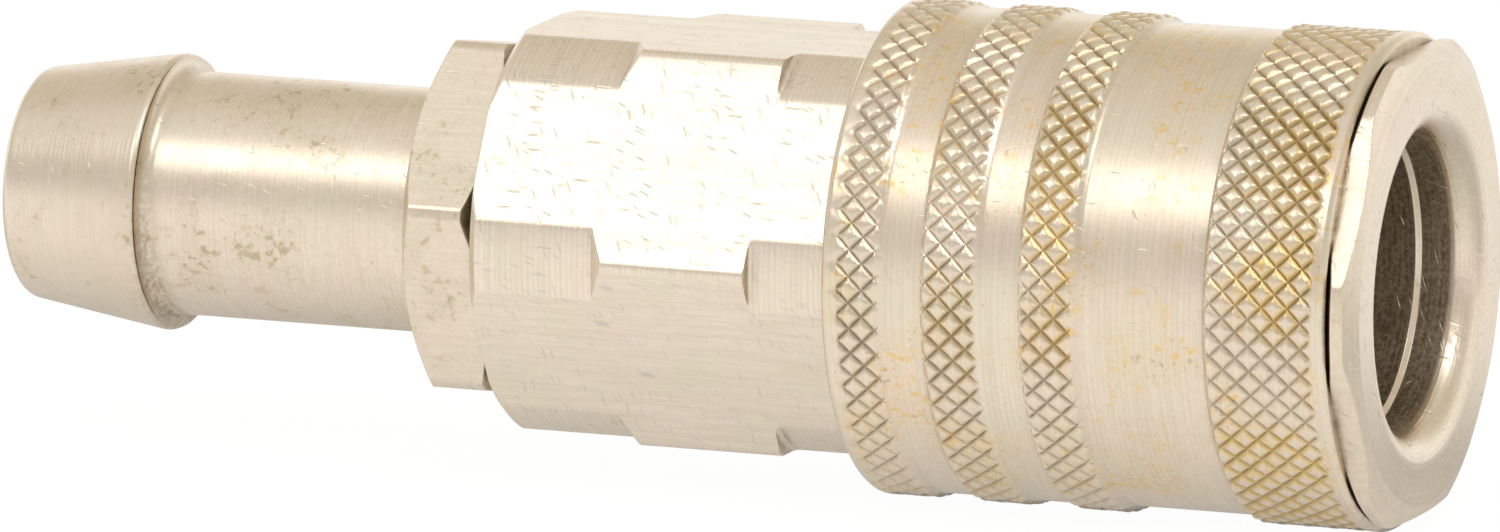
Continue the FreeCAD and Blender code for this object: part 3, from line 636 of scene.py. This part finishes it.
def ball_hole_cutter(lean):
    """A stepped peg that stands out from the axis at that angle, the shape of one ball hole."""
    points = []
    for radius, height in hole_profile:
        for step in range(HOLE_SIDES):
            around = math.radians(360 / HOLE_SIDES * step)
            along, across = radius * math.cos(around), radius * math.sin(around)
            points.append((at(BALL_DEPTH) + along * MM,
                           (across * math.cos(lean) - height * math.sin(lean)) * MM,
                           (across * math.sin(lean) + height * math.cos(lean)) * MM))
    top = HOLE_SIDES * (len(hole_profile) - 1)
    faces = [tuple(range(HOLE_SIDES - 1, -1, -1)), tuple(range(top, top + HOLE_SIDES))]
    for foot in range(0, top, HOLE_SIDES):
        for step in range(HOLE_SIDES):
            a, b = foot + step, foot + (step + 1) % HOLE_SIDES
            faces.append((a, b, b + HOLE_SIDES, a + HOLE_SIDES))
    return build_mesh("ball_hole_cutter", np.array(points), faces)


def cut_holes(piece, cutters):
    """Takes the cutters out of the piece, and keeps the result as its mesh."""
    for cutter in cutters:
        modifier = piece.modifiers.new("hole", "BOOLEAN")
        modifier.operation = "DIFFERENCE"
        modifier.object = cutter
        modifier.solver = "EXACT"
    depsgraph = bpy.context.evaluated_depsgraph_get()
    mesh = bpy.data.meshes.new_from_object(piece.evaluated_get(depsgraph))
    piece.modifiers.clear()
    piece.data = mesh
    for cutter in cutters:
        bpy.data.objects.remove(cutter)
    mesh.set_sharp_from_angle(angle=math.radians(CREASE))


cut_holes(socket, [ball_hole_cutter(math.radians(360 / BALLS * (k + 0.5))) for k in range(BALLS)])


def finish_piece(piece, material, body, slot, *nodes):
    """Gives a new piece its finish, and puts it on its body in place of its CAD nodes."""
    piece.data.materials.clear()
    piece.data.materials.append(material)
    smooth = piece.modifiers.new("even_shading", "WEIGHTED_NORMAL")
    smooth.keep_sharp = True
    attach(piece, body)
    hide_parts(*nodes)


finish_piece(socket, nickel_turned, "coupler_body", "nickel_plated_steel", "socket_body")


# ---- Plug seal and the other rubber rings ----
# Moulded black nitrile rubber: a lipped ring in the plug bore, a flat washer on the valve and two
# round rings between the screwed parts. They are pressed into their grooves by hand.
rubber = bpy.data.materials.new("nitrile_rubber")
rubber.use_nodes = True
rubber_tree = rubber.node_tree
rubber_tree.nodes.clear()
RUBBER_BLACK = (0.018, 0.018, 0.019)
RUBBER_GREY = (0.05, 0.047, 0.043)
rubber_age = add_group(rubber_tree, tarnish, {"Cover": 0.5, "Cloud size": 2.5})
rubber_colour = tint(rubber_tree, rubber_age.outputs["Bloom"], RUBBER_BLACK, RUBBER_GREY)
rubber_bump = add_node(rubber_tree, "ShaderNodeBump", {
    "Height": rubber_age.outputs["Mottle"], "Strength": 0.4, "Distance": 0.00003})
rubber_shader = add_node(rubber_tree, "ShaderNodeBsdfPrincipled", {
    "Base Color": rubber_colour, "Roughness": scale_to(rubber_tree, rubber_age.outputs["Mottle"], 0.42, 0.62),
    "Normal": rubber_bump.outputs["Normal"]})
add_node(rubber_tree, "ShaderNodeOutputMaterial", {"Surface": rubber_shader.outputs["BSDF"]})


def dress(node, material):
    """Gives a CAD piece its finish."""
    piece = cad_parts[node]
    piece.data.materials.clear()
    piece.data.materials.append(material)


for node in ("plug_seal", "valve_seal", "body_seal", "stem_seal"):
    dress(node, rubber)


# ---- Shut-off valve ----
# A slotted brass cup and disc, turned in one, that the plug pushes open. It is held on a steel
# pin, which slides in a drilled brass guide. An open spring ring keeps the guide in from behind.
brass = metal("turned_brass", (0.66, 0.47, 0.20), (0.50, 0.33, 0.12), (0.26, 0.15, 0.06), fine=3.0,
              rough=(0.24, 0.40), cover=0.6, cloud=4.0)
bare_steel = metal("bare_steel", (0.56, 0.55, 0.53), (0.40, 0.39, 0.37), (0.22, 0.17, 0.12), fine=8.0,
                   rough=(0.22, 0.36), cover=0.35, cloud=3.0)
spring_steel = metal("spring_steel", (0.42, 0.41, 0.40), (0.27, 0.26, 0.25), (0.18, 0.12, 0.08),
                     fine=2.0, rough=(0.26, 0.42), cover=0.4, cloud=2.0)
dress("valve_head", brass)
dress("valve_guide", brass)
dress("valve_pin", bare_steel)
dress("guide_clip", spring_steel)


# ---- Springs ----
# Round spring wire wound with closed end coils. One shuts the valve, and a wider one behind a
# steel washer pushes the sleeve forward. Each is only held between the faces it presses on.
WIRE_SIDES = 16
COIL_STEPS = 48                  # along each turn of wire
COIL_CLOSING = 0.6               # how much closer the end coils lie
SPRING_CREASE = 50.0             # degrees


def coil(name, front, back, mean_radius, wire_radius, coils):
    """A compression spring between two depths, a closed tube with its wire cut square at the ends."""
    steps = int(coils * COIL_STEPS)
    share = np.arange(steps + 1)[:, None] / steps
    eased = share - COIL_CLOSING * np.sin(2 * math.pi * share) / (2 * math.pi)
    middle = back - wire_radius - (back - front - 2 * wire_radius) * eased
    around = 2 * math.pi * coils * share
    side = 2 * math.pi * np.arange(WIRE_SIDES)[None, :] / WIRE_SIDES
    radius = mean_radius + wire_radius * np.cos(side)
    x = at(middle - wire_radius * np.sin(side))
    vertices = np.stack(np.broadcast_arrays(
        x, radius * np.cos(around) * MM, radius * np.sin(around) * MM), -1).reshape(-1, 3)
    faces = []
    for step in range(steps):
        for k in range(WIRE_SIDES):
            a, b = step * WIRE_SIDES + k, step * WIRE_SIDES + (k + 1) % WIRE_SIDES
            faces.append((a, a + WIRE_SIDES, b + WIRE_SIDES, b))
    faces.append(tuple(range(WIRE_SIDES)))
    faces.append(tuple(range((steps + 1) * WIRE_SIDES - 1, steps * WIRE_SIDES - 1, -1)))
    return build_mesh(name, vertices, faces, SPRING_CREASE)


def fit_spring(node, mean_radius, wire_radius, coils):
    """Winds a spring in place of its CAD piece."""
    front, back = reach(node)
    spring = coil(f"{node}_wire", front, back, mean_radius, wire_radius, coils)
    finish_piece(spring, spring_steel, "coupler_body", "spring_steel", node)
    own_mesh(spring)


fit_spring("valve_spring", mean_radius=5.2, wire_radius=0.5, coils=6.0)
fit_spring("sleeve_spring", mean_radius=15.315, wire_radius=0.55, coils=6.5)
dress("spring_washer", bare_steel)


# ---- Locking balls ----
# Eight hardened and polished steel balls. The sleeve's cone holds them down into the plug's
# groove, and lets them rise when it is pulled back.
polished_steel = metal("polished_steel", (0.74, 0.74, 0.75), (0.62, 0.62, 0.63), (0.40, 0.35, 0.28),
                       fine=0.8, rough=(0.08, 0.16), scratch=0.35, cover=0.2, cloud=2.0, bump=0.08)
for k in range(BALLS):
    dress(f"lock_ball_{k + 1}", polished_steel)


# ---- Sleeve ----
# The grip that is pulled back to let the plug go: turned steel with four raised rings, rolled
# with a crossed knurl, then nickel plated. Tarnish stays in the cuts of the knurl, and painted shade darkens
# their bottoms.
SLEEVE_FRONT, SLEEVE_BACK = reach("sleeve")
RING_R = 18.55
BAND_R = 18.0                    # the smooth band behind the front ring
GROOVE_R = 18.15                 # between the other rings
SLEEVE_CREASE = 30.0             # degrees
KNURL_COUNT = 58                 # diamonds round the ring
KNURL_STEPS = 10                 # mesh columns to a diamond
KNURL_REACH = 2                  # columns from the bottom of a cut to its edge
KNURL_DEPTH = 0.27
KNURL_SWAY = 0.10                # how unevenly deep the roller pressed, round the sleeve
KNURL_TWIST = 0.02               # radians that this turns by from row to row
CUT_SHAPE = [1.0, 0.62, 0.24, 0.09, 0.03, 0.0]    # share of the depth, step by step out of a cut
KNURL_FADE = 0.35                # over which the cuts run out at the two ends
KNURL_FRONT, KNURL_BACK = 3.0, 40.4
CELL_ROWS = 64
TOP_SPREAD = 0.009               # how unevenly high the diamonds stand
SLEEVE_COLUMNS = KNURL_COUNT * KNURL_STEPS
knurl_step = 2 * math.pi * RING_R / SLEEVE_COLUMNS
knurl_spans = [(KNURL_FRONT, 11.9), (21.4, 26.0), (29.0, 33.6), (36.6, 40.35)]

ring_fronts, ring_backs = (29.6, 37.2), (25.7, 33.3)
ring_rise = [(-0.75, GROOVE_R), (-0.55, 18.18), (-0.35, 18.26), (-0.18, 18.40), (-0.02, RING_R - 0.05),
             (0.15, RING_R)]
ring_fall = [(-0.2, RING_R), (-0.02, RING_R - 0.06), (0.12, 18.32), (0.25, 18.18), (0.4, GROOVE_R)]
outside = [
    (SLEEVE_FRONT, 18.15), (2.25, 18.38), (2.5, RING_R), (2.75, RING_R), (11.15, RING_R),
    (11.3, RING_R - 0.04), (11.42, 18.30), (11.55, 18.04), (11.7, BAND_R), (21.25, BAND_R),
    (21.45, 18.03), (21.62, 18.15), (21.8, 18.36), (21.95, RING_R - 0.06), (22.15, RING_R),
]
for behind, front in zip(ring_backs, ring_fronts):
    outside += [(round(behind + step, 2), radius) for step, radius in ring_fall]
    outside += [(round(front + step, 2), radius) for step, radius in ring_rise]
outside += [(40.7, RING_R), (40.95, RING_R - 0.03), (41.15, 18.38), (SLEEVE_BACK, 18.15)]
inside = np.array([
    (SLEEVE_BACK, 16.35), (41.1, 16.15), (18.2, 16.15), (18.2, 14.48), (15.1, 14.48), (12.99, 14.98),
    (10.7, 15.9), (5.5, 15.9), (5.5, 14.48), (3.52, 14.48), (3.52, 15.78), (3.1, 15.78),
    (SLEEVE_FRONT, 16.15),
])


def is_knurled(depth):
    """Whether a depth lies in a knurled ring or on its edges."""
    return any(low <= depth <= high for low, high in knurl_spans)


outside_depth, outside_radius = np.array(outside).T
lattice = [k * knurl_step for k in range(int(SLEEVE_BACK / knurl_step)) if is_knurled(k * knurl_step)]
plain = [depth for depth in outside_depth if not is_knurled(depth)]
stations = np.unique(np.round(np.array(lattice + plain), 5))
base_radius = np.interp(stations, outside_depth, outside_radius)
on_lattice = np.array([is_knurled(depth) for depth in stations])
row_steps = np.round(stations / knurl_step).astype(int)
columns = np.arange(SLEEVE_COLUMNS)
angle = columns * 2 * math.pi / SLEEVE_COLUMNS
luck = np.random.default_rng(7)
cell_height = luck.uniform(-TOP_SPREAD, TOP_SPREAD, (CELL_ROWS, KNURL_COUNT))


def cut_distance(steps):
    """How many steps a lattice point is from the middle of the nearest cut."""
    return np.minimum(steps % KNURL_STEPS, -steps % KNURL_STEPS)


one_way = row_steps[:, None] + columns[None, :]
other_way = row_steps[:, None] - columns[None, :]
nearest = np.minimum(cut_distance(one_way), cut_distance(other_way))
sway = 1 + KNURL_SWAY * np.sin(3 * angle + row_steps[:, None] * KNURL_TWIST)
profile = -KNURL_DEPTH * np.interp(nearest, range(len(CUT_SHAPE)), CUT_SHAPE)
cell_row, cell_column = (one_way // KNURL_STEPS) % CELL_ROWS, (other_way // KNURL_STEPS) % KNURL_COUNT
top_height = np.where(nearest > KNURL_REACH, cell_height[cell_row, cell_column], 0.0)
fade = np.clip((stations - KNURL_FRONT) / KNURL_FADE, 0, 1)
fade *= np.clip((KNURL_BACK - stations) / KNURL_FADE, 0, 1)
knurled_radius = RING_R + (profile * sway + top_height) * fade[:, None]
surface = np.minimum(base_radius[:, None], knurled_radius)
surface = np.where(on_lattice[:, None], surface, base_radius[:, None])
cut_share = np.clip((base_radius[:, None] - surface) / KNURL_DEPTH, 0, 1)

all_depth = np.concatenate([np.repeat(stations[:, None], SLEEVE_COLUMNS, 1),
                            np.repeat(inside[:, :1], SLEEVE_COLUMNS, 1)])
all_radius = np.concatenate([surface, np.repeat(inside[:, 1:], SLEEVE_COLUMNS, 1)])
rows = len(all_depth)
sleeve_points = np.stack([
    at(all_depth), all_radius * MM * np.cos(angle), all_radius * MM * np.sin(angle)], -1)
quads = ring_faces(rows, SLEEVE_COLUMNS)[:, ::-1].reshape(rows, SLEEVE_COLUMNS, 4)
along_first = cut_distance(one_way[:-1] + 1) < cut_distance(other_way[:-1])
sleeve_faces = []
for row in range(rows):
    knurled = row < len(stations) - 1 and on_lattice[row] and on_lattice[row + 1]
    for column in range(SLEEVE_COLUMNS):
        corners = quads[row, column].tolist()
        if not knurled:
            sleeve_faces.append(corners)
            continue
        here = row * SLEEVE_COLUMNS + column
        turn_by = corners.index(here) + (1 if along_first[row, column] else 0)
        corners = corners[turn_by % 4:] + corners[:turn_by % 4]
        sleeve_faces.append(corners[:3])
        sleeve_faces.append([corners[0], corners[2], corners[3]])
sleeve = build_mesh("sleeve_knurled", sleeve_points.reshape(-1, 3), sleeve_faces, SLEEVE_CREASE)
groove = sleeve.data.attributes.new("cut", "FLOAT", "POINT")
groove.data.foreach_set("value", np.concatenate([
    cut_share.ravel(), np.zeros(len(inside) * SLEEVE_COLUMNS)]).astype(np.float32))
nickel_knurled = metal("nickel_knurled", (0.80, 0.715, 0.605), (0.66, 0.575, 0.455), (0.80, 0.55, 0.20),
                       scratch=0.35, cover=0.78, cloud=6.0, groove_tone=(0.68, 0.48, 0.18))
finish_piece(sleeve, nickel_knurled, "sleeve", "nickel_plated_steel", "sleeve")


# ---- Rear body ----
# Hexagon bar, turned down to a neck at each end and bored through, threaded for the socket body
# in front and the hose stem behind, then nickel plated. Its flats keep the spanner's scratches.
BODY_BACK = reach("rear_body")[1]
BODY_ACROSS = 30.0               # between its flats
BODY_R = 17.15                   # over its turned corners
NECK_R = 16.0
WIPER_R = 14.9                   # a groove in the front neck, under the sleeve's back end
THREAD_HOLE_R = 13.55
PASSAGE_R = 11.2
body_corners = [
    (THREAD_FRONT, NECK_R, 0.1), (40.7, NECK_R), (40.7, WIPER_R), (41.4, WIPER_R), (41.4, NECK_R),
    (47.9, NECK_R, 0.4), (47.9, BODY_R, 0.12), (59.2, BODY_R, 0.15), (60.35, NECK_R, 0.2),
    (69.6, NECK_R, 0.15), (BODY_BACK, 15.4, 0.12), (BODY_BACK, 11.6), (68.7, 11.6), (68.7, 10.05),
    (59.7, 10.05), (57.3, PASSAGE_R), (47.05, PASSAGE_R), (47.05, THREAD_HOLE_R),
    (THREAD_FRONT, THREAD_HOLE_R),
]
body_outline = refined(rounded(body_corners), [(47.5, 48.2), (59.0, 60.6), (69.4, 70.3)], step=0.1)
body_flats = (THREAD_FRONT - 0.5, BODY_BACK + 0.1, BODY_ACROSS, 0.0, INSIDE_R)
nickel_body = metal("nickel_body", (0.82, 0.74, 0.635), (0.72, 0.635, 0.52), NICKEL_STAIN, fine=2.6,
                    mark_depth=0.85, feed=0.45, scratch=0.66, spacing=1.2, cover=0.42, cloud=7.0)
rear_body = turned("rear_body_hexagon", body_outline, [body_flats], edge=0.07)
finish_piece(rear_body, nickel_body, "coupler_body", "nickel_plated_steel", "rear_body")


# ---- Hose stem ----
# Screwed into the back of the rear body: a hexagonal collar, a plain shank and one big barb that
# the hose is pushed over, bored right through, turned from hexagon bar and nickel plated.
STEM_FRONT, STEM_BACK = reach("hose_stem")
COLLAR_FRONT, COLLAR_BACK = 70.3, 76.5
COLLAR_R = 14.75
COLLAR_ACROSS = 26.0             # between its flats
COLLAR_TURN = -10.0              # degrees, where screwing it tight left it against the rear body
COLLAR_INSIDE_R = 12.0
SHANK_R = 9.2
BARB_FRONT = 99.2
BARB_R = 10.55
STEM_BORE_R = 6.75
FILLET_DEPTH = BARB_FRONT - 0.5
FILLET_SHADE_REACH = 1.5                # how far along the shank the painted shade in the barb's fillet spreads
stem_corners = [
    (COLLAR_FRONT, 13.0, 0.05), (71.31, COLLAR_R, 0.1), (75.49, COLLAR_R, 0.1), (COLLAR_BACK, 13.0, 0.05),
    (COLLAR_BACK, SHANK_R, 0.12), (BARB_FRONT, SHANK_R, 1.1), (BARB_FRONT, BARB_R, 0.5),
    (STEM_BACK, 8.7, 0.8), (STEM_BACK, 7.55, 0.1), (109.9, STEM_BORE_R, 0.2), (60.25, STEM_BORE_R),
    (STEM_FRONT, 8.5), (STEM_FRONT, 9.5, 0.1), (59.0, 10.0, 0.1), (COLLAR_FRONT, 10.0),
]
stem_spans = [(70.2, 71.5), (75.3, 76.6), (94.0, BARB_FRONT)]
stem_outline = refined(rounded(stem_corners), stem_spans, step=0.1)
stem_angles = np.arange(COLUMNS) * 2 * math.pi / COLUMNS
from_fillet = np.abs(stem_outline[:, :1] - FILLET_DEPTH)
fillet_shade = np.clip(1 - from_fillet / FILLET_SHADE_REACH, 0, 1) * (stem_outline[:, 1:] > 9.0)
# painted shade in the barb's fillet, heavier on the underside
stem_shade = fillet_shade * (0.30 + 0.65 * np.clip(0.35 - np.sin(stem_angles), 0, 1))
nickel_stem = metal("nickel_stem", (0.81, 0.73, 0.62), (0.70, 0.61, 0.49), (0.50, 0.40, 0.25), fine=2.8,
                    feed=0.35, scratch=0.35, cover=0.72, cloud=5.0, grain=0.6)
collar_flats = (COLLAR_FRONT - 0.1, COLLAR_BACK + 0.1, COLLAR_ACROSS, COLLAR_TURN, COLLAR_INSIDE_R)
hose_stem = turned("hose_stem_barbed", stem_outline, [collar_flats], edge=0.06, shade_mask=stem_shade)
finish_piece(hose_stem, nickel_stem, "coupler_body", "nickel_plated_steel", "hose_stem")
